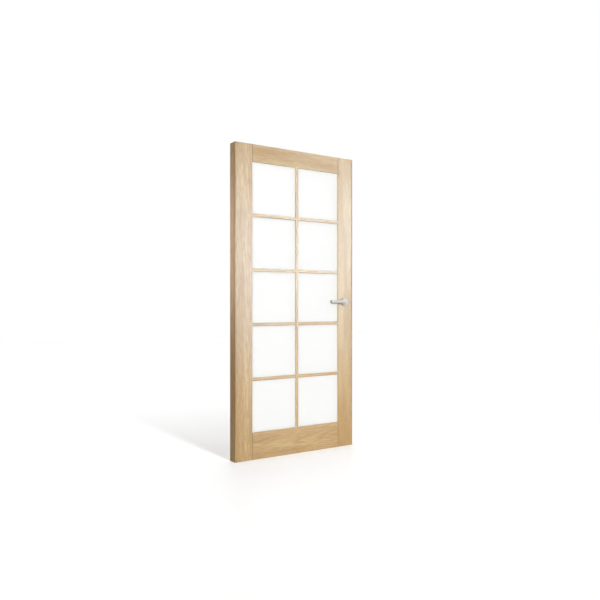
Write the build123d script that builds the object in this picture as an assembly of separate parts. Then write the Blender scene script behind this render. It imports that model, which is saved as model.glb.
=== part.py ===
from build123d import *
import os

# Interior door leaf with ten lights, in millimetres.
# X runs from the hinge edge (0) to the lock edge, Y from the front (negative) to the back, Z up.

# Leaf
leaf_width = 930.0
leaf_height = 2015.0
leaf_thickness = 68.0
lipping_thickness = 8.0
stile_width = 125.0  # lipping included
top_rail_height = 112.0
bottom_rail_height = 174.0
tenon_length = 60.0
tenon_thickness = 22.0
tenon_shoulder = 25.0
tenon_end_gap = 2.0
joint_vee = 1.6
lipping_round = 1.5
opening_chamfer = 1.0

# Glazing
light_rows = 5
bar_width = 21.0
bar_web = 6.0
bar_chamfer = 1.0
front_lip = 8.5  # leaf face to glass
glass_thickness = 6.0
glass_edge_gap = 1.5
bead_depth = 40.0
bead_flat = 3.0

# Lever set
spindle_backset = 70.0
spindle_height = 1010.0
spindle_side = 8.0
spindle_bore = 16.0
rose_diameter = 53.0
rose_thickness = 8.5
rose_round = 2.5
neck_clearance = 0.3
neck_gap = 1.0
lever_diameter = 24.0
lever_reach = 36.0  # leaf face to the middle of the grip
lever_length = 142.0  # spindle to the tip
lever_bend = 26.0
lever_tip_round = 1.5
socket_depth = 16.0

# Latch
plate_width = 24.0
plate_height = 58.0
plate_thickness = 3.0
case_diameter = 20.0
case_tail = 20.0  # beyond the spindle
case_clearance = 0.3
follower_hole = 13.0
bolt_thickness = 10.0
bolt_height = 14.0
bolt_length = 30.0
bolt_clearance = 0.3

# Depths through the leaf
front_y = -leaf_thickness / 2
back_y = leaf_thickness / 2
glass_front_y = front_y + front_lip
glass_back_y = glass_front_y + glass_thickness
bead_back_y = glass_back_y + bead_depth
upright_face_y = front_y + opening_chamfer
cross_face_y = upright_face_y + bar_chamfer

# Opening and lights, as (left, right, bottom, top)
opening = (stile_width, leaf_width - stile_width, bottom_rail_height, leaf_height - top_rail_height)
rebate_width = (bar_width - bar_web) / 2
bar_left = (opening[0] + opening[1] - bar_width) / 2
bar_right = bar_left + bar_width
web_left = bar_left + rebate_width
web_right = bar_right - rebate_width
light_height = (opening[3] - opening[2] - (light_rows - 1) * bar_width) / light_rows
columns = {"left": (opening[0], bar_left), "right": (bar_right, opening[1])}

spindle_x = leaf_width - spindle_backset
grip_y = front_y - lever_reach


def block(x, y, z):
    """Box between the low and high value on each axis."""
    middle = [(low + high) / 2 for low, high in (x, y, z)]
    return Pos(*middle) * Box(x[1] - x[0], y[1] - y[0], z[1] - z[0])


def widen(outline, margin):
    left, right, bottom, top = outline
    return (left - margin, right + margin, bottom - margin, top + margin)


def slab(outline, y):
    """Rectangular plate that fills an outline between two depths."""
    return block(outline[:2], y, outline[2:])


def upright_plane(x, y, z):
    """Plane facing the front, with X to the right and Z up."""
    return Plane(origin=(x, y, z), x_dir=(1, 0, 0), z_dir=(0, -1, 0))


def funnel(outline, tight_y, wide_y, spread):
    """Rectangular plug that widens by spread on all four sides from tight_y to wide_y."""
    sections = []
    for y, margin in ((tight_y, 0), (wide_y, spread)):
        left, right, bottom, top = widen(outline, margin)
        plane = upright_plane((left + right) / 2, y, (bottom + top) / 2)
        sections.append((plane * Rectangle(right - left, top - bottom)).face())
    return loft(sections)


def rod(diameter, start, end):
    """Round rod between two points on a line along X or Y."""
    line = Line(start, end)
    return extrude(Plane(origin=start, z_dir=line % 0) * Circle(diameter / 2), line.length)


def light(row, side):
    """Sight outline of one light, rows counted from the top."""
    top = opening[3] - (row - 1) * (light_height + bar_width)
    return (*columns[side], top - light_height, top)


def cut_opening(piece):
    """Glazing rebate from the back, with chamfered arrises on both faces."""
    rebate = widen(opening, rebate_width)
    piece -= slab(rebate, (glass_front_y, back_y))
    piece -= funnel(opening, front_y + opening_chamfer, front_y, opening_chamfer)
    return piece - funnel(rebate, back_y - opening_chamfer, back_y, opening_chamfer)


def tenon(rail_z, end_gap=0.0):
    """Stub tenons of one rail, in one bar that also serves to cut the mortises."""
    reach = tenon_length + end_gap
    x = (stile_width - reach, leaf_width - stile_width + reach)
    y = (-tenon_thickness / 2, tenon_thickness / 2)
    return block(x, y, (rail_z[0] + tenon_shoulder, rail_z[1] - tenon_shoulder))


def stile(x, inner):
    """Stile with its inner arrises eased, so that its joints with the rails show as fine grooves."""
    piece = block(x, (front_y, back_y), (0, leaf_height))
    piece = chamfer(piece.edges().filter_by(Axis.Z).group_by(Axis.X)[inner], joint_vee)
    for rail_z in rails.values():
        piece -= tenon(rail_z, tenon_end_gap)
    return cut_opening(piece)


def rail(rail_z):
    piece = block((stile_width, leaf_width - stile_width), (front_y, back_y), rail_z)
    piece = chamfer(piece.edges().filter_by(Axis.Z), joint_vee)
    return cut_opening(piece + tenon(rail_z))


def lipping(x, outer):
    """Solid strip along a stile's edge, with rounded arrises on its outer side."""
    piece = block(x, (front_y, back_y), (0, leaf_height))
    arrises = piece.edges().filter_by(Axis.Z).group_by(Axis.X)[outer]
    return fillet(arrises, lipping_round)


def upright_bar():
    nose = block((bar_left, bar_right), (upright_face_y, glass_front_y), opening[2:])
    nose = chamfer(nose.edges().filter_by(Axis.Z).group_by(Axis.Y)[0], bar_chamfer)
    ends = (opening[2] - rebate_width, opening[3] + rebate_width)
    return nose + block((web_left, web_right), (glass_front_y, bead_back_y), ends)


def cross_bar(row, side):
    """Bar under one light: its nose meets the stile and the upright bar, its web fills their rebates."""
    left, right, bottom, _ = light(row, side)
    z = (bottom - bar_width, bottom)
    nose = block((left, right), (cross_face_y, glass_front_y), z)
    nose = chamfer(nose.edges().filter_by(Axis.X).group_by(Axis.Y)[0], bar_chamfer)
    ends = (left - rebate_width, right + rebate_width)
    web_z = (z[0] + rebate_width, z[1] - rebate_width)
    return nose + block(ends, (glass_front_y, bead_back_y), web_z)


def pane(row, side):
    return slab(widen(light(row, side), rebate_width - glass_edge_gap), (glass_front_y, glass_back_y))


def beads(row, side):
    """Four mitred beads with sloping faces round the back of one light."""
    sight = light(row, side)
    left, right, bottom, top = widen(sight, rebate_width)
    y = (glass_back_y, bead_back_y)
    ring = slab((left, right, bottom, top), y) - funnel(sight, *y, rebate_width - bead_flat)
    in_left, in_right, in_bottom, in_top = sight
    mitres = {
        "left": [(left, bottom), (left, top), (in_left, in_top), (in_left, in_bottom)],
        "right": [(right, bottom), (right, top), (in_right, in_top), (in_right, in_bottom)],
        "bottom": [(left, bottom), (right, bottom), (in_right, in_bottom), (in_left, in_bottom)],
        "top": [(left, top), (right, top), (in_right, in_top), (in_left, in_top)],
    }
    pieces = {}
    for edge, corners in mitres.items():
        outline = Polyline(*[(x, glass_back_y, z) for x, z in corners], close=True)
        pieces[edge] = ring & extrude(make_face(outline), bead_depth, dir=(0, 1, 0))
    return pieces


def rose():
    face = upright_plane(spindle_x, front_y, spindle_height)
    cover = extrude(face * Circle(rose_diameter / 2), rose_thickness)
    cover = fillet(cover.edges().group_by(Axis.Y)[0], rose_round)
    return cover - extrude(face * Circle(lever_diameter / 2 + neck_clearance), rose_thickness)


def lever():
    """Round bar that leaves the rose, bends square and runs back towards the hinge edge."""
    neck_y = front_y - neck_gap
    path = FilletPolyline(
        (spindle_x, neck_y, spindle_height),
        (spindle_x, grip_y, spindle_height),
        (spindle_x - lever_length, grip_y, spindle_height),
        radius=lever_bend,
    )
    bar = sweep(Plane(origin=path @ 0, z_dir=path % 0) * Circle(lever_diameter / 2), path=path)
    bar = fillet(bar.edges().group_by(Axis.X)[0], lever_tip_round)
    return bar - spindle()


def spindle():
    half = leaf_thickness / 2 + neck_gap + socket_depth
    side = spindle_side / 2
    return block(
        (spindle_x - side, spindle_x + side), (-half, half), (spindle_height - side, spindle_height + side)
    )


def latch_plate():
    edge = Plane(origin=(leaf_width, 0, spindle_height), x_dir=(0, 0, 1), z_dir=(1, 0, 0))
    return extrude(edge * SlotOverall(plate_height, plate_width), -plate_thickness)


def latch_case(clearance=0.0):
    """Round case in the lock edge, or the bore for it."""
    start = (leaf_width, 0, spindle_height)
    end = (spindle_x - case_tail - clearance, 0, spindle_height)
    return rod(case_diameter + 2 * clearance, start, end)


def latch_bolt(clearance=0.0):
    half_y = bolt_thickness / 2 + clearance
    half_z = bolt_height / 2 + clearance
    x = (leaf_width - bolt_length - clearance, leaf_width)
    return block(x, (-half_y, half_y), (spindle_height - half_z, spindle_height + half_z))


def cross_hole(diameter):
    return rod(diameter, (spindle_x, front_y, spindle_height), (spindle_x, back_y, spindle_height))


def latch():
    return latch_plate() + latch_case() - latch_bolt(bolt_clearance) - cross_hole(follower_hole)


def cut_lock(piece):
    """Mortise for the latch and the hole for the spindle."""
    return piece - latch_plate() - latch_case(case_clearance) - cross_hole(spindle_bore)


rails = {
    "top_rail": (leaf_height - top_rail_height, leaf_height),
    "bottom_rail": (0, bottom_rail_height),
}
nodes = {name: rail(rail_z) for name, rail_z in rails.items()}
nodes["hinge_stile"] = stile((lipping_thickness, stile_width), -1)
nodes["lock_stile"] = cut_lock(stile((leaf_width - stile_width, leaf_width - lipping_thickness), 0))
nodes["hinge_edge_lipping"] = lipping((0, lipping_thickness), 0)
nodes["lock_edge_lipping"] = cut_lock(lipping((leaf_width - lipping_thickness, leaf_width), -1))
nodes["upright_bar"] = upright_bar()

bead_sets = {}
for row in range(1, light_rows + 1):
    above = "top_rail" if row == 1 else f"bar_{row - 1}"
    below = "bottom_rail" if row == light_rows else f"bar_{row}"
    for side, stile_name in (("left", "hinge_stile"), ("right", "lock_stile")):
        nodes[f"pane_{row}_{side}"] = pane(row, side)
        if row < light_rows:
            nodes[f"bar_{row}_{side}"] = cross_bar(row, side)
        carriers = {"top": above, "bottom": below, "left": "upright_bar", "right": "upright_bar"}
        carriers[side] = stile_name
        for edge, bead in beads(row, side).items():
            bead_sets.setdefault(f"{carriers[edge]}_beads", []).append(bead.solid())
for name, pieces in bead_sets.items():
    nodes[name] = Compound(pieces)

nodes["front_rose"] = rose()
nodes["front_lever"] = lever()
for part in ("rose", "lever"):
    nodes[f"back_{part}"] = mirror(nodes[f"front_{part}"], about=Plane.XZ)
nodes["spindle"] = spindle()
nodes["latch"] = latch()
nodes["latch_bolt"] = latch_bolt()

os.makedirs("parts", exist_ok=True)
for name, shape in nodes.items():
    export_step(shape, f"parts/{name}.step")
print(f"{len(nodes)} nodes; each light is {bar_left - opening[0]:.1f} x {light_height:.1f}")
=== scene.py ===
import math

import bmesh
import bpy
from mathutils import Matrix, Vector


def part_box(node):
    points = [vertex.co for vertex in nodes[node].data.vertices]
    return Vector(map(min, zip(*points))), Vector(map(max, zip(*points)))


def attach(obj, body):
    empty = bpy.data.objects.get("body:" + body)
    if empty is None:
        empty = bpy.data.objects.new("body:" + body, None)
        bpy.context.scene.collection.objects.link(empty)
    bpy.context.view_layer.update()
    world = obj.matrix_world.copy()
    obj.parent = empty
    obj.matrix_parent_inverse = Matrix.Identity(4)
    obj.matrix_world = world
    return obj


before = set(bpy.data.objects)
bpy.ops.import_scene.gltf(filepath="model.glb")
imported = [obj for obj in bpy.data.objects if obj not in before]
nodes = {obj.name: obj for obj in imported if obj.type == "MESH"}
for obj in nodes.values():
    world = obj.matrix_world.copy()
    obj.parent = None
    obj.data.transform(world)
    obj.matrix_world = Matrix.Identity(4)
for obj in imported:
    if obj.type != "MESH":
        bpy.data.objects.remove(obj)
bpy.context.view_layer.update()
scene = bpy.context.scene
scene.view_settings.view_transform = "Standard"
mm = 0.001


def toLinear(hexColour):
    channels = [int(hexColour[i:i + 2], 16) / 255 for i in (0, 2, 4)]
    linear = [c / 12.92 if c <= 0.04045 else ((c + 0.055) / 1.055) ** 2.4 for c in channels]
    return (*linear, 1.0)


# a setting is a property of the node where it has one by that name, and otherwise an input
def addNode(tree, kind, settings=None, links=None):
    node = tree.nodes.new("ShaderNode" + kind)
    for key, value in (settings or {}).items():
        if isinstance(key, str) and hasattr(node, key):
            setattr(node, key, value)
        else:
            node.inputs[key].default_value = value
    for key, socket in (links or {}).items():
        tree.links.new(socket, node.inputs[key])
    return node


# the sockets of a Mix node that carry colours
colourA, colourB, colourOut = 6, 7, 2


# roughness between a finish's two limits, following its noise
def addGloss(tree, finish, noise):
    low, high = finish["glossRange"]
    smooth, rough = finish["roughness"]
    return addNode(
        tree, "MapRange", {"From Min": low, "From Max": high, "To Min": smooth, "To Max": rough},
        {"Value": noise},
    ).outputs["Result"]


# 1 for what is seen directly, mirrored or through the glass, and 0 for the light that falls on other things
def addSeen(tree):
    path = addNode(tree, "LightPath")
    seen = path.outputs["Is Camera Ray"]
    for ray in ("Is Glossy Ray", "Is Transmission Ray"):
        either = addNode(tree, "Math", {"operation": "MAXIMUM"}, {0: seen, 1: path.outputs[ray]})
        seen = either.outputs["Value"]
    return seen


def newMaterial(name):
    material = bpy.data.materials.new(name)
    material.use_nodes = True
    material.node_tree.nodes.clear()
    return material


def dress(material, *names):
    for name in names:
        nodes[name].data.materials.clear()
        nodes[name].data.materials.append(material)


# Flat-sawn oak under satin lacquer: pale straw, darker latewood, short streaks and open pores along the grain
oak = {
    "earlywood": "BCA06D", "honey": "AC8A51", "latewood": "96682A", "pore": "6A4C24",
    "ringWidth": 10 * mm,  # real rings are 2 to 4 mm, too fine to show from here
    "ringBend": 26 * mm,
    # width and length of a patch along the grain, and its noise detail
    "patches": {
        "drift": (70 * mm, 700 * mm, 1.0),
        "bend": (55 * mm, 380 * mm, 2.0),
        "streak": (6 * mm, 70 * mm, 3.0),
        "pore": (1.6 * mm, 24 * mm, 2.0),  # real pores are 0.3 mm wide
    },
    "patchRoughness": 0.55,
    # the values of the wave or patch where a mask starts and where it is full, and its strength
    "masks": {
        "ring": (-0.3, 1.0, 0.27),
        "drift": (0.35, 0.65, 1.0),
        "streak": (0.42, 0.70, 0.60),
        "pore": (0.58, 0.70, 0.35),
    },
    "glossRange": (0.35, 0.65), "roughness": (0.40, 0.50),
    "ringRelief": 0.35, "bump": 0.35, "bumpDepth": 0.25 * mm,
    "ior": 1.5, "coat": 0.25, "coatRoughness": 0.42,
}

grainTurns = {"upright": (0, 0, 0), "level": (0, math.radians(90), 0)}

# grain space has Z along the grain; pith is the ring centre there and lean, in degrees, tilts it against the
# board; figure is the share of rings and streaks that the board shows
boards = {
    "oakHingeStile": {
        "nodes": ["hinge_stile"], "grain": "upright", "seed": (0.3, 1.7, 0.2),
        "pith": (0.052, 0.045), "lean": (1.1, 0.5), "shades": ["stileJoint"],
    },
    "oakLockStile": {
        "nodes": ["lock_stile"], "grain": "upright", "seed": (4.1, 0.6, 5.3),
        "pith": (0.900, 0.050), "lean": (-0.9, 0.3), "shades": ["stileJoint"], "figure": 0.45, "coat": 0.12,
    },
    "oakTopRail": {
        "nodes": ["top_rail"], "grain": "level", "seed": (7.7, 3.1, 2.9),
        "pith": (2.060, 0.060), "lean": (1.2, -1.5), "shades": ["railJoint"],
        "figure": 0.7, "coat": 0.0, "ior": 1.45,
    },
    "oakBottomRail": {
        "nodes": ["bottom_rail"], "grain": "level", "seed": (2.6, 9.3, 8.1),
        "pith": (0.075, 0.035), "lean": (2.6, 1.0), "shades": ["railJoint"],
    },
    "oakUprightBar": {
        "nodes": ["upright_bar"], "grain": "upright", "seed": (5.9, 4.4, 1.6),
        "pith": (0.430, 0.090), "lean": (0.6, 0.4), "shades": [], "figure": 0.3, "coat": 0.2,
    },
    "oakCrossBars": {
        "nodes": [f"bar_{row}_{side}" for row in range(1, 5) for side in ("left", "right")],
        "grain": "level", "seed": (1.2, 6.6, 7.4),
        "pith": (0.700, 0.120), "lean": (1.5, 0.8), "shades": ["railJoint", "paintedBarUnderShade"],
        "figure": 0.3, "coat": 0.2,
    },
    "oakUprightBeads": {
        "nodes": ["hinge_stile_beads", "lock_stile_beads", "upright_bar_beads"],
        "grain": "upright", "seed": (8.8, 2.2, 3.7),
        "pith": (0.300, 0.150), "lean": (0.8, 0.6), "shades": [],
    },
    "oakLevelBeads": {
        "nodes": ["top_rail_beads", "bottom_rail_beads"] + [f"bar_{row}_beads" for row in range(1, 5)],
        "grain": "level", "seed": (6.3, 7.9, 4.8),
        "pith": (1.300, 0.150), "lean": (0.8, 0.6), "shades": [],
    },
    "oakHingeLipping": {
        "nodes": ["hinge_edge_lipping"], "grain": "upright", "seed": (3.4, 5.1, 6.2),
        "pith": (0.200, 0.060), "lean": (0.4, 0.3), "shades": ["lippingSeam", "paintedHingeEdgeShade", "edgeArris"],
        "ior": 1.3, "coat": 0.0,
    },
    "oakLockLipping": {
        "nodes": ["lock_edge_lipping"], "grain": "upright", "seed": (9.2, 1.4, 2.7),
        "pith": (0.700, 0.060), "lean": (0.5, 0.3), "shades": [], "coat": 0.0,
    },
}

barLow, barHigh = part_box("upright_bar")
middleX = (barLow.x + barHigh.x) / 2
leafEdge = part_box("lock_edge_lipping")[1]
halfWidth = leafEdge.x - middleX
halfThickness = leafEdge.y
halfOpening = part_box("lock_stile")[0].x - middleX
lightsMiddle = (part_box("pane_5_left")[0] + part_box("pane_1_right")[1]) / 2
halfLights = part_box("top_rail")[0].z - lightsMiddle.z
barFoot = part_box("bar_1_left")[0].z
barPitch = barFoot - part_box("bar_2_left")[0].z
edgeRange = ("X", middleX, halfWidth - 1.0 * mm, halfWidth - 0.1 * mm)

# darker bands, some of them dark joints and some painted shade: strength, colour, and the ranges that limit
# them, each an axis, a middle plane, the distances from it where the band starts and where it is full, and
# the pitch where it repeats
shades = {
    # painted shade: a golden line along the lower edge of each cross bar, where its underside is in shade
    "paintedBarUnderShade": (0.80, "9A6A20", [("Z", barFoot - 1 * mm, 6.5 * mm, 4.0 * mm, barPitch)]),
    "railJoint": (0.55, "5B442A", [("X", middleX, halfOpening - 3.5 * mm, halfOpening - 0.5 * mm)]),
    "stileJoint": (0.65, "4E3A24", [
        ("X", middleX, halfOpening + 2.8 * mm, halfOpening + 1.6 * mm),
        ("Z", lightsMiddle.z, halfLights, halfLights + 1 * mm),
    ]),
    # painted shade: the hinge edge darker, as it faces away from the light
    "paintedHingeEdgeShade": (0.22, "754304", [edgeRange]),
    "edgeArris": (0.25, "5D3E1E", [
        edgeRange, ("Y", 0.0, halfThickness - 10 * mm, halfThickness - 2 * mm),
    ]),
    "lippingSeam": (0.25, "6B4A26", [("X", middleX, halfWidth - 6.4 * mm, halfWidth - 7.6 * mm)]),
}


def makeOak(name, board):
    material = newMaterial(name)
    tree = material.node_tree
    coord = addNode(tree, "TexCoord")
    lie = addNode(
        tree, "Mapping", {"Rotation": grainTurns[board["grain"]]}, {"Vector": coord.outputs["Object"]}
    )
    patches = {}
    for key, (across, along, detail) in oak["patches"].items():
        size = addNode(
            tree, "Mapping", {"Location": board["seed"], "Scale": (1 / across, 1 / across, 1 / along)},
            {"Vector": lie.outputs["Vector"]},
        )
        patches[key] = addNode(
            tree, "TexNoise", {"Scale": 1.0, "Detail": detail, "Roughness": oak["patchRoughness"]},
            {"Vector": size.outputs["Vector"]},
        ).outputs["Fac"]

    # growth rings: distance from the leaning pith, bent by the slow patches
    pithX, pithY = board["pith"]
    leanX, leanY = (math.radians(angle) for angle in board["lean"])
    centred = addNode(
        tree, "Mapping", {"Location": (-pithX, -pithY, 0), "Rotation": (leanX, leanY, 0)},
        {"Vector": lie.outputs["Vector"]},
    )
    flat = addNode(
        tree, "VectorMath", {"operation": "MULTIPLY", 1: (1, 1, 0)}, {0: centred.outputs["Vector"]}
    )
    radius = addNode(tree, "VectorMath", {"operation": "LENGTH"}, {0: flat.outputs["Vector"]})
    bent = addNode(
        tree, "Math", {"operation": "MULTIPLY_ADD", 1: oak["ringBend"]},
        {0: patches["bend"], 2: radius.outputs["Value"]},
    )
    turn = addNode(
        tree, "Math", {"operation": "MULTIPLY", 1: 2 * math.pi / oak["ringWidth"]}, {0: bent.outputs["Value"]}
    )
    wave = addNode(tree, "Math", {"operation": "SINE"}, {0: turn.outputs["Value"]})

    sources = {**patches, "ring": wave.outputs["Value"]}
    masks = {}
    for key, (start, full, strength) in oak["masks"].items():
        if key in ("ring", "streak"):
            strength *= board.get("figure", 1.0)
        masks[key] = addNode(
            tree, "MapRange", {"From Min": start, "From Max": full, "To Max": strength},
            {"Value": sources[key]},
        ).outputs["Result"]
    colour = addNode(
        tree, "Mix",
        {"data_type": "RGBA", colourA: toLinear(oak["earlywood"]), colourB: toLinear(oak["honey"])},
        {0: masks["drift"]},
    ).outputs[colourOut]
    layers = [
        (masks["ring"], oak["latewood"]), (masks["streak"], oak["latewood"]), (masks["pore"], oak["pore"]),
    ]
    place = addNode(tree, "SeparateXYZ", {}, {0: coord.outputs["Object"]})
    for key in board["shades"]:
        strength, shadeColour, ranges = shades[key]
        band = None
        for axis, middle, start, full, *pitch in ranges:
            offset = addNode(tree, "Math", {"operation": "SUBTRACT", 1: middle}, {0: place.outputs[axis]})
            reach = {"operation": "WRAP", 1: pitch[0], 2: 0.0} if pitch else {"operation": "ABSOLUTE"}
            distance = addNode(tree, "Math", reach, {0: offset.outputs["Value"]})
            within = addNode(
                tree, "MapRange", {"From Min": start, "From Max": full, "To Max": strength},
                {"Value": distance.outputs["Value"]},
            )
            if band:
                tree.links.new(band, within.inputs["To Max"])
            band = within.outputs["Result"]
        layers.append((band, shadeColour))
    for mask, layerColour in layers:
        colour = addNode(
            tree, "Mix", {"data_type": "RGBA", colourB: toLinear(layerColour)}, {0: mask, colourA: colour}
        ).outputs[colourOut]

    relief = addNode(
        tree, "Math", {"operation": "MULTIPLY_ADD", 1: oak["ringRelief"]},
        {0: masks["ring"], 2: masks["pore"]},
    )
    bump = addNode(
        tree, "Bump", {"invert": True, "Strength": oak["bump"], "Distance": oak["bumpDepth"]},
        {"Height": relief.outputs["Value"]},
    )
    surface = addNode(
        tree, "BsdfPrincipled",
        {
            "IOR": board.get("ior", oak["ior"]), "Coat Weight": board.get("coat", oak["coat"]),
            "Coat Roughness": oak["coatRoughness"],
        },
        {
            "Base Color": colour, "Roughness": addGloss(tree, oak, patches["streak"]),
            "Normal": bump.outputs["Normal"],
        },
    )
    addNode(tree, "OutputMaterial", {}, {"Surface": surface.outputs["BSDF"]})
    return material


for name, board in boards.items():
    dress(makeOak(name, board), *board["nodes"])
print("oak:", len(boards), "boards")

# Satin-etched float glass: a white, even veil that lets light through and hides what stands behind it
glass = {
    "white": "FCFDFC", "clearShare": 0.18, "shade": "808080", "ior": 1.52,
    "etchSize": 1.2 * mm,  # real etching is finer than 0.1 mm
    "etchDetail": 2.0, "glossRange": (0.3, 0.7), "roughness": (0.55, 0.70),
    "nodes": [name for name in nodes if name.startswith("pane_")],
}


def makeGlass():
    material = newMaterial("satinEtchedGlass")
    tree = material.node_tree
    coord = addNode(tree, "TexCoord")
    etch = addNode(
        tree, "TexNoise", {"Scale": 1 / glass["etchSize"], "Detail": glass["etchDetail"]},
        {"Vector": coord.outputs["Object"]},
    )
    pane = addNode(
        tree, "BsdfPrincipled",
        {
            "Base Color": toLinear(glass["white"]), "IOR": glass["ior"],
            "Transmission Weight": glass["clearShare"],
        },
        {"Roughness": addGloss(tree, glass, etch.outputs["Fac"])},
    )
    # the shadow of a pane is lighter than the shadow of the wood
    clear = addNode(tree, "BsdfTransparent", {"Color": toLinear(glass["shade"])})
    path = addNode(tree, "LightPath")
    mix = addNode(
        tree, "MixShader", {},
        {0: path.outputs["Is Shadow Ray"], 1: pane.outputs["BSDF"], 2: clear.outputs["BSDF"]},
    )
    addNode(tree, "OutputMaterial", {}, {"Surface": mix.outputs["Shader"]})
    return material


dress(makeGlass(), *glass["nodes"])
print("glass:", len(glass["nodes"]), "panes")

# Satin-brushed stainless steel: soft grey highlights on fine lines across the bar and round the rose
steel = {
    "brushWidth": 0.5 * mm,  # real brush lines are under 0.1 mm
    "brushDetail": 2.0, "brushRoughness": 0.6, "bump": 0.12, "bumpDepth": 0.05 * mm,
    "glossRange": (0.3, 0.7), "roughness": (0.25, 0.35),
    # the darker grey of the painted shade
    "paintedShadeGrey": "5F5C57",
    # brushed names the direction that crosses the brush lines; each band of painted shade, a darker grey, has
    # a direction, the distances from the spindle where it starts and where it is full, and its strength
    "parts": {
        "brushedBar": {
            "nodes": ["front_lever", "back_lever"], "bright": "E9E7E3", "dull": "D9D7D2", "brushed": "X",
            "paintedShadeBands": [
                # painted shade: the dark tip face, the dark line where the neck meets the rose, and the
                # darker underside
                ("X", -140.2 * mm, -141.4 * mm, 0.65), ("X", 6.5 * mm, 12 * mm, 0.8),
                ("Z", -8.5 * mm, -12 * mm, 0.5),
            ],
        },
        "brushedRose": {
            "nodes": ["front_rose", "back_rose"], "bright": "E9E7E3", "dull": "D9D7D2", "brushed": "radius",
            # painted shade: the rose's darker rim and lower part
            "paintedShadeBands": [("radius", 25.0 * mm, 26.2 * mm, 0.8), ("Z", -8 * mm, -20 * mm, 0.5)],
        },
        "turnedSteel": {
            "nodes": ["spindle", "latch", "latch_bolt"], "bright": "C6C4BF", "dull": "B2B0AB", "brushed": "X",
            "paintedShadeBands": [],
        },
    },
}
spindleLow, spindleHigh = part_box("spindle")
spindleMiddle = (spindleLow + spindleHigh) / 2


def makeSteel(name, part):
    material = newMaterial(name)
    tree = material.node_tree
    coord = addNode(tree, "TexCoord")
    centred = addNode(tree, "Mapping", {"Location": -spindleMiddle}, {"Vector": coord.outputs["Object"]})
    flat = addNode(
        tree, "VectorMath", {"operation": "MULTIPLY", 1: (1, 0, 1)}, {0: centred.outputs["Vector"]}
    )
    radius = addNode(tree, "VectorMath", {"operation": "LENGTH"}, {0: flat.outputs["Vector"]})
    place = addNode(tree, "SeparateXYZ", {}, {0: centred.outputs["Vector"]})
    distances = {"X": place.outputs["X"], "Z": place.outputs["Z"], "radius": radius.outputs["Value"]}
    lines = addNode(
        tree, "TexNoise",
        {
            "noise_dimensions": "1D", "Scale": 1 / steel["brushWidth"], "Detail": steel["brushDetail"],
            "Roughness": steel["brushRoughness"],
        },
        {"W": distances[part["brushed"]]},
    ).outputs["Fac"]
    colour = addNode(
        tree, "Mix",
        {"data_type": "RGBA", colourA: toLinear(part["bright"]), colourB: toLinear(part["dull"])},
        {0: lines},
    ).outputs[colourOut]
    # each band mixes in the darker grey as painted shade
    for direction, start, full, strength in part["paintedShadeBands"]:
        band = addNode(
            tree, "MapRange", {"From Min": start, "From Max": full, "To Max": strength},
            {"Value": distances[direction]},
        )
        colour = addNode(
            tree, "Mix", {"data_type": "RGBA", colourB: toLinear(steel["paintedShadeGrey"])},
            {0: band.outputs["Result"], colourA: colour},
        ).outputs[colourOut]
    bump = addNode(
        tree, "Bump", {"Strength": steel["bump"], "Distance": steel["bumpDepth"]}, {"Height": lines}
    )
    surface = addNode(
        tree, "BsdfPrincipled", {"Metallic": 1.0},
        {
            "Base Color": colour, "Roughness": addGloss(tree, steel, lines),
            "Normal": bump.outputs["Normal"],
        },
    )
    addNode(tree, "OutputMaterial", {}, {"Surface": surface.outputs["BSDF"]})
    return material


for name, part in steel["parts"].items():
    dress(makeSteel(name, part), *part["nodes"])
turnedSteel = bpy.data.materials["turnedSteel"]
print("steel:", len(steel["parts"]), "finishes")

newPieces = []
smoothAngle = 35


def finishPiece(name, bm, material, body):
    mesh = bpy.data.meshes.new(name)
    bmesh.ops.recalc_face_normals(bm, faces=bm.faces)
    bm.to_mesh(mesh)
    bm.free()
    mesh.polygons.foreach_set("use_smooth", [True] * len(mesh.polygons))
    mesh.set_sharp_from_angle(angle=math.radians(smoothAngle))
    mesh.materials.append(material)
    piece = bpy.data.objects.new(name, mesh)
    scene.collection.objects.link(piece)
    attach(piece, body)
    newPieces.append(piece)


def sink(bm, geometry, depth):
    verts = [v for v in geometry if isinstance(v, bmesh.types.BMVert)]
    bmesh.ops.translate(bm, verts=verts, vec=(0, 0, -depth))


def joinPart(bm, part, place):
    bmesh.ops.transform(part, matrix=place, verts=part.verts)
    mesh = bpy.data.meshes.new("joinedPart")
    part.to_mesh(mesh)
    part.free()
    bm.from_mesh(mesh)
    bpy.data.meshes.remove(mesh)


# Two raised countersunk screws with cross recesses in the latch plate; turn is each cross's angle in radians
plateScrew = {
    "radius": 4.0 * mm, "proud": 0.4 * mm, "sunk": 1.2 * mm, "rimRound": 0.35 * mm, "rimSteps": 3,
    "slotWidth": 1.1 * mm, "slotLength": 4.6 * mm, "slotDepth": 1.0 * mm, "spacing": 41 * mm,
    "sides": 32, "turn": 0.4,
}


def addPlateScrew(bm, place):
    screw = bmesh.new()
    bmesh.ops.create_circle(screw, cap_ends=True, radius=plateScrew["radius"], segments=plateScrew["sides"])
    halfSlot, halfLength = plateScrew["slotWidth"] / 2, plateScrew["slotLength"] / 2
    for axis in (Vector((1, 0, 0)), Vector((0, 1, 0))):
        for cut in (-halfLength, -halfSlot, halfSlot, halfLength):
            everything = screw.verts[:] + screw.edges[:] + screw.faces[:]
            bmesh.ops.bisect_plane(screw, geom=everything, plane_co=axis * cut, plane_no=axis)
    rim = [edge for edge in screw.edges if edge.is_boundary]
    recess = []
    for face in screw.faces:
        x, y, _ = face.calc_center_median()
        near, far = sorted((abs(x), abs(y)))
        if near < halfSlot and far < halfLength:
            recess.append(face)
    sink(screw, bmesh.ops.extrude_face_region(screw, geom=recess)["geom"], plateScrew["slotDepth"])
    sink(screw, bmesh.ops.extrude_edge_only(screw, edges=rim)["geom"], plateScrew["sunk"])
    bmesh.ops.bevel(
        screw, geom=rim, offset=plateScrew["rimRound"], affect="EDGES", segments=plateScrew["rimSteps"],
        profile=0.5, material=-1,
    )
    joinPart(bm, screw, place)


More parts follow.
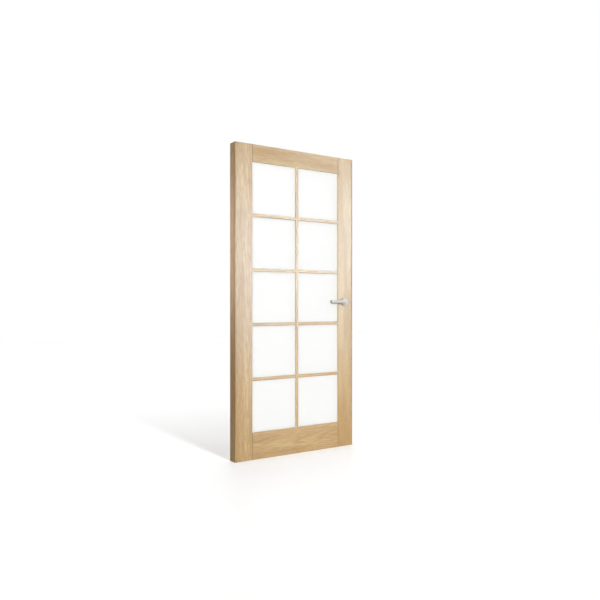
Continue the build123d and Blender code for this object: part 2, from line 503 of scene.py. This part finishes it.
screws = bmesh.new()
for side in (-1, 1):
    place = Matrix.Translation((
        leafEdge.x + plateScrew["proud"], 0, spindleMiddle.z + side * plateScrew["spacing"] / 2
    ))
    facing = Matrix.Rotation(math.radians(90), 4, "Y")
    addPlateScrew(screws, place @ facing @ Matrix.Rotation(plateScrew["turn"] * side, 4, "Z"))
finishPiece("latchPlateScrews", screws, turnedSteel, "leaf")

# A grub screw with a hexagon socket under each lever's neck
grubScrew = {
    "radius": 2.6 * mm, "socket": 1.5 * mm, "depth": 1.8 * mm, "proud": 0.15 * mm, "sunk": 0.7 * mm,
    "fromFace": 13.5 * mm, "sides": 24, "socketSides": 6,
}


def addGrubScrew(bm, place):
    grub = bmesh.new()
    bmesh.ops.create_circle(grub, radius=grubScrew["radius"], segments=grubScrew["sides"])
    outer = grub.edges[:]
    bmesh.ops.create_circle(grub, radius=grubScrew["socket"], segments=grubScrew["socketSides"])
    inner = [edge for edge in grub.edges if edge not in outer]
    bmesh.ops.bridge_loops(grub, edges=outer + inner)
    walls = bmesh.ops.extrude_edge_only(grub, edges=inner)["geom"]
    sink(grub, walls, grubScrew["depth"])
    socketFoot = [e for e in walls if isinstance(e, bmesh.types.BMEdge) and e.is_boundary]
    bmesh.ops.contextual_create(grub, geom=socketFoot)
    sink(grub, bmesh.ops.extrude_edge_only(grub, edges=outer)["geom"], grubScrew["sunk"])
    joinPart(bm, grub, place)


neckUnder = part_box("front_lever")[0].z
grubs = bmesh.new()
for side in (-1, 1):
    place = Matrix.Translation((
        spindleMiddle.x, side * (halfThickness + grubScrew["fromFace"]), neckUnder - grubScrew["proud"]
    ))
    addGrubScrew(grubs, place @ Matrix.Rotation(math.radians(180), 4, "X"))
finishPiece("leverGrubScrews", grubs, turnedSteel, "lever_set")

# Pin holes along the sloping faces of the glazing beads, filled with hard wax, darker and duller than the oak
beadPin = {
    "radius": 1.1 * mm, "topShare": 0.7, "sides": 8, "proud": 0.15 * mm,
    "paneMargin": 5.5 * mm, "depthShare": 0.6, "slope": (4 * mm, 40 * mm),
    "stations": (0.08, 0.36, 0.64, 0.92),
    "pale": "9C7440", "dark": "84602F", "spotSize": 2 * mm, "spotDetail": 1.0, "roughness": 0.65,
}


def makeFiller():
    material = newMaterial("woodFiller")
    tree = material.node_tree
    coord = addNode(tree, "TexCoord")
    spots = addNode(
        tree, "TexNoise", {"Scale": 1 / beadPin["spotSize"], "Detail": beadPin["spotDetail"]},
        {"Vector": coord.outputs["Object"]},
    )
    colour = addNode(
        tree, "Mix",
        {"data_type": "RGBA", colourA: toLinear(beadPin["pale"]), colourB: toLinear(beadPin["dark"])},
        {0: spots.outputs["Fac"]},
    )
    surface = addNode(
        tree, "BsdfPrincipled", {"Roughness": beadPin["roughness"]}, {"Base Color": colour.outputs[colourOut]}
    )
    addNode(tree, "OutputMaterial", {}, {"Surface": surface.outputs["BSDF"]})
    return material


def addBeadPins(bm, low, high):
    outward, back = beadPin["slope"]
    share = beadPin["depthShare"]
    y = high.y + back * share
    sides = {"left": low.x, "right": high.x, "bottom": low.z, "top": high.z}
    for side, at in sides.items():
        level = side in ("bottom", "top")
        sign = 1 if side in ("left", "bottom") else -1  # towards the middle of the light
        inward = Vector((0, 0, sign)) if level else Vector((sign, 0, 0))
        normal = (inward * back + Vector((0, outward, 0))).normalized()
        offset = at + sign * (beadPin["paneMargin"] - outward * share)
        for station in beadPin["stations"]:
            if level:
                spot = Vector((low.x + (high.x - low.x) * station, y, offset))
            else:
                spot = Vector((offset, y, low.z + (high.z - low.z) * station))
            bmesh.ops.create_cone(
                bm, cap_ends=True, segments=beadPin["sides"], radius1=beadPin["radius"],
                radius2=beadPin["radius"] * beadPin["topShare"], depth=2 * beadPin["proud"],
                matrix=Matrix.Translation(spot) @ normal.to_track_quat("Z", "Y").to_matrix().to_4x4(),
            )


pins = bmesh.new()
for name in glass["nodes"]:
    addBeadPins(pins, *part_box(name))
finishPiece("beadPinFills", pins, makeFiller(), "leaf")
print("fixings: latch plate screws, grub screws, bead pins")


# a square of one metre, stretched to the sheet's size
def addSheet(name, material, sheet):
    bm = bmesh.new()
    width, depth = sheet["size"]
    bmesh.ops.create_grid(
        bm, x_segments=1, y_segments=1, size=0.5,
        matrix=Matrix.Translation(sheet["at"]) @ Matrix.Diagonal((width, depth, 1, 1)),
    )
    mesh = bpy.data.meshes.new(name)
    bm.to_mesh(mesh)
    bm.free()
    mesh.materials.append(material)
    piece = bpy.data.objects.new(name, mesh)
    for rays in sheet["hiddenFrom"]:
        setattr(piece, "visible_" + rays, False)
    scene.collection.objects.link(piece)
    return piece


# Matt white studio floor: white where it is lit, with a soft shadow and a faint reflection. It throws back a
# little less light than it shows, so that the foot of the leaf stays in tone.
floor = {
    "at": (middleX, 0, -0.5 * mm), "size": (28.0, 28.0), "hiddenFrom": [],
    "paint": "E6E6E6", "bounce": "C2C2C2", "paintShare": 0.75, "glow": 1.58,
    "mirror": "FFFFFF", "mirrorShare": 0.05, "roughness": 0.2,
}


def makeFloor():
    material = newMaterial("whiteStudioFloor")
    tree = material.node_tree
    seen = addSeen(tree)
    share = addNode(tree, "Math", {"operation": "MULTIPLY", 1: 1 - floor["paintShare"]}, {0: seen})
    tone = addNode(
        tree, "Mix",
        {"data_type": "RGBA", colourA: toLinear(floor["bounce"]), colourB: toLinear(floor["paint"])},
        {0: seen},
    )
    paint = addNode(tree, "BsdfDiffuse", {}, {"Color": tone.outputs[colourOut]})
    glow = addNode(tree, "Emission", {"Strength": floor["glow"]})
    lit = addNode(
        tree, "MixShader", {},
        {0: share.outputs["Value"], 1: paint.outputs["BSDF"], 2: glow.outputs["Emission"]},
    )
    mirrored = addNode(
        tree, "BsdfGlossy", {"Color": toLinear(floor["mirror"]), "Roughness": floor["roughness"]}
    )
    mix = addNode(
        tree, "MixShader", {0: floor["mirrorShare"]}, {1: lit.outputs["Shader"], 2: mirrored.outputs["BSDF"]}
    )
    addNode(tree, "OutputMaterial", {}, {"Surface": mix.outputs["Shader"]})
    return material


floorPiece = addSheet("studioFloor", makeFloor(), floor)

# A sheet just above the floor that glows an even grey and shows only mirrored: painted darker reflections
# that give the lever and rose their form
greySheet = {
    "at": (1.9, -0.80, 0.02), "size": (1.3, 1.8), "grey": "B4B4B4",
    "hiddenFrom": ["camera", "diffuse", "transmission", "shadow"],
}


def makeGreySheet():
    material = newMaterial("glowingGreySheet")
    tree = material.node_tree
    front = addNode(tree, "Emission", {"Color": toLinear(greySheet["grey"])})
    back = addNode(tree, "BsdfTransparent")
    side = addNode(tree, "NewGeometry")
    mix = addNode(
        tree, "MixShader", {},
        {0: side.outputs["Backfacing"], 1: front.outputs["Emission"], 2: back.outputs["BSDF"]},
    )
    addNode(tree, "OutputMaterial", {}, {"Surface": mix.outputs["Shader"]})
    return material


addSheet("mirroredGreySheet", makeGreySheet(), greySheet)

# The world is white where it is seen, and a low even fill for the light on the leaf
studio = {"white": "FFFFFF", "seenStrength": 1.0, "fillStrength": 0.30}


def makeWorld():
    world = bpy.data.worlds.new("studio")
    world.use_nodes = True
    tree = world.node_tree
    tree.nodes.clear()
    white = toLinear(studio["white"])
    fill = addNode(tree, "Background", {"Color": white, "Strength": studio["fillStrength"]})
    bright = addNode(tree, "Background", {"Color": white, "Strength": studio["seenStrength"]})
    mix = addNode(
        tree, "MixShader", {},
        {0: addSeen(tree), 1: fill.outputs["Background"], 2: bright.outputs["Background"]},
    )
    addNode(tree, "OutputWorld", {}, {"Surface": mix.outputs["Shader"]})
    return world


scene.world = makeWorld()

# Each lamp lights one group of pieces
panes = [nodes[name] for name in glass["nodes"]]
groups = {
    "floor": [floorPiece],
    "wood": [nodes[name] for board in boards.values() for name in board["nodes"]] + newPieces,
    "pale": panes + [nodes[name] for part in steel["parts"].values() for name in part["nodes"]],
    "solid": [piece for piece in nodes.values() if piece not in panes] + newPieces,
    "frame": [
        nodes[name] for key, board in boards.items() if "Lipping" not in key for name in board["nodes"]
    ],
    "edges": [nodes["hinge_edge_lipping"]],
    "panes": panes,
}

# frontKey gives the lever its own small shadow, and the others light front, back and panes evenly
suns = {
    "frontKey": {"from": (0.02, -1.0, 0.15), "strength": 1.58, "spread": 12, "group": "solid"},
    "leftFill": {"from": (-1.0, -0.16, 0.1), "strength": 3.7, "spread": 40, "group": "frame"},
    "paneKey": {"from": (-0.49, -1.0, 0.22), "strength": 0.45, "spread": 12, "group": "panes"},
    "paneFill": {"from": (-0.62, -0.78, 0.09), "strength": 1.80, "spread": 8, "group": "panes"},
    "backFill": {"from": (0.35, 1.0, 0.45), "strength": 3.0, "spread": 60, "group": "wood"},
    "paleBackFill": {"from": (0.35, 1.0, 0.45), "strength": 2.1, "spread": 60, "group": "pale"},
}

# fills light but aren't mirrored; boards show only as the soft sheen of the lacquer on the upper part
fillHidden = ["glossy", "camera"]
boardHidden = ["diffuse", "camera"]
boxes = {
    # a tall strip far away: the shadow has a clear edge at the side and fades towards its end
    "floorKey": {
        "at": (1.75, -92.0, 165.0), "aim": (0.0, 0.0, 0.0), "roll": 0, "size": (10.0, 130.0),
        "watts": 196000, "group": "floor", "hiddenFrom": fillHidden, "colour": "FFFFFF",
    },
    # a second strip from behind, for the faint shade in front of the foot
    "footStrip": {
        "at": (24.4, 37.0, 164.0), "aim": (0.4, 0.0, 0.0), "roll": 0, "size": (40.0, 90.0),
        "watts": 90000, "group": "floor", "hiddenFrom": fillHidden, "colour": "FFFFFF",
    },
    "lowFill": {
        "at": (1.25, -1.9, 0.5), "aim": (0.6, 0.0, 0.6), "roll": 0, "size": (2.4, 1.0),
        "watts": 9, "group": "frame", "hiddenFrom": fillHidden, "colour": "FFFFFF",
    },
    "edgeFill": {
        "at": (-1.6, 0.2, 1.5), "aim": (0.0, 0.0, 1.2), "roll": 0, "size": (1.0, 1.0),
        "watts": 4.4, "group": "edges", "hiddenFrom": fillHidden, "colour": "FFFFFF",
    },
    "sheenBoard": {
        "at": (2.20, -2.5, 1.62), "aim": (0.46, 0.0, 1.36), "roll": 30, "size": (2.4, 1.70),
        "watts": 188, "group": "frame", "hiddenFrom": boardHidden, "colour": "C8E4FF",
    },
    "lippingSheen": {
        "at": (2.10, -2.5, 1.60), "aim": (0.46, 0.0, 1.30), "roll": 20, "size": (2.2, 1.5),
        "watts": 470, "group": "edges", "hiddenFrom": boardHidden, "colour": "DCEEFF",
    },
    "edgeBoard": {
        "at": (-1.1, 2.1, 1.55), "aim": (0.0, 0.0, 1.35), "roll": 0, "size": (1.0, 1.2),
        "watts": 28, "group": "edges", "hiddenFrom": boardHidden, "colour": "FFE6C8",
    },
}


def addLamp(name, kind, group):
    light = bpy.data.lights.new(name, kind)
    piece = bpy.data.objects.new(name, light)
    scene.collection.objects.link(piece)
    receivers = bpy.data.collections.new(name + "Receivers")
    for receiver in groups[group]:
        receivers.objects.link(receiver)
    piece.light_linking.receiver_collection = receivers
    return light, piece


for name, sun in suns.items():
    light, piece = addLamp(name, "SUN", sun["group"])
    light.energy = sun["strength"]
    light.angle = math.radians(sun["spread"])
    piece.rotation_euler = Vector(sun["from"]).to_track_quat("Z", "Y").to_euler()
for name, box in boxes.items():
    light, piece = addLamp(name, "AREA", box["group"])
    light.energy = box["watts"]
    light.color = toLinear(box["colour"])[:3]
    light.shape = "RECTANGLE"
    light.size, light.size_y = box["size"]
    for rays in box["hiddenFrom"]:
        setattr(piece, "visible_" + rays, False)
    facing = (Vector(box["aim"]) - Vector(box["at"])).to_track_quat("-Z", "Y").to_matrix().to_4x4()
    roll = Matrix.Rotation(math.radians(box["roll"]), 4, "Z")
    piece.matrix_world = Matrix.Translation(box["at"]) @ facing @ roll
print("studio: floor, world,", len(suns), "suns and", len(boxes), "boxes")

# A level camera, fitted to the leaf's corners in the photo
view = {
    "at": (-1.829, -halfThickness - 3.515, 0.997), "turn": -33.39,
    "lens": 37.75, "sensor": 36, "shift": 0.00625,
}
camera = bpy.data.cameras.new("camera")
camera.lens = view["lens"]
camera.sensor_width = view["sensor"]
camera.shift_y = view["shift"]
cameraPiece = bpy.data.objects.new("camera", camera)
cameraPiece.location = view["at"]
cameraPiece.rotation_euler = (math.radians(90), 0, math.radians(view["turn"]))
scene.collection.objects.link(cameraPiece)
scene.camera = cameraPiece
print("camera:", view["at"])
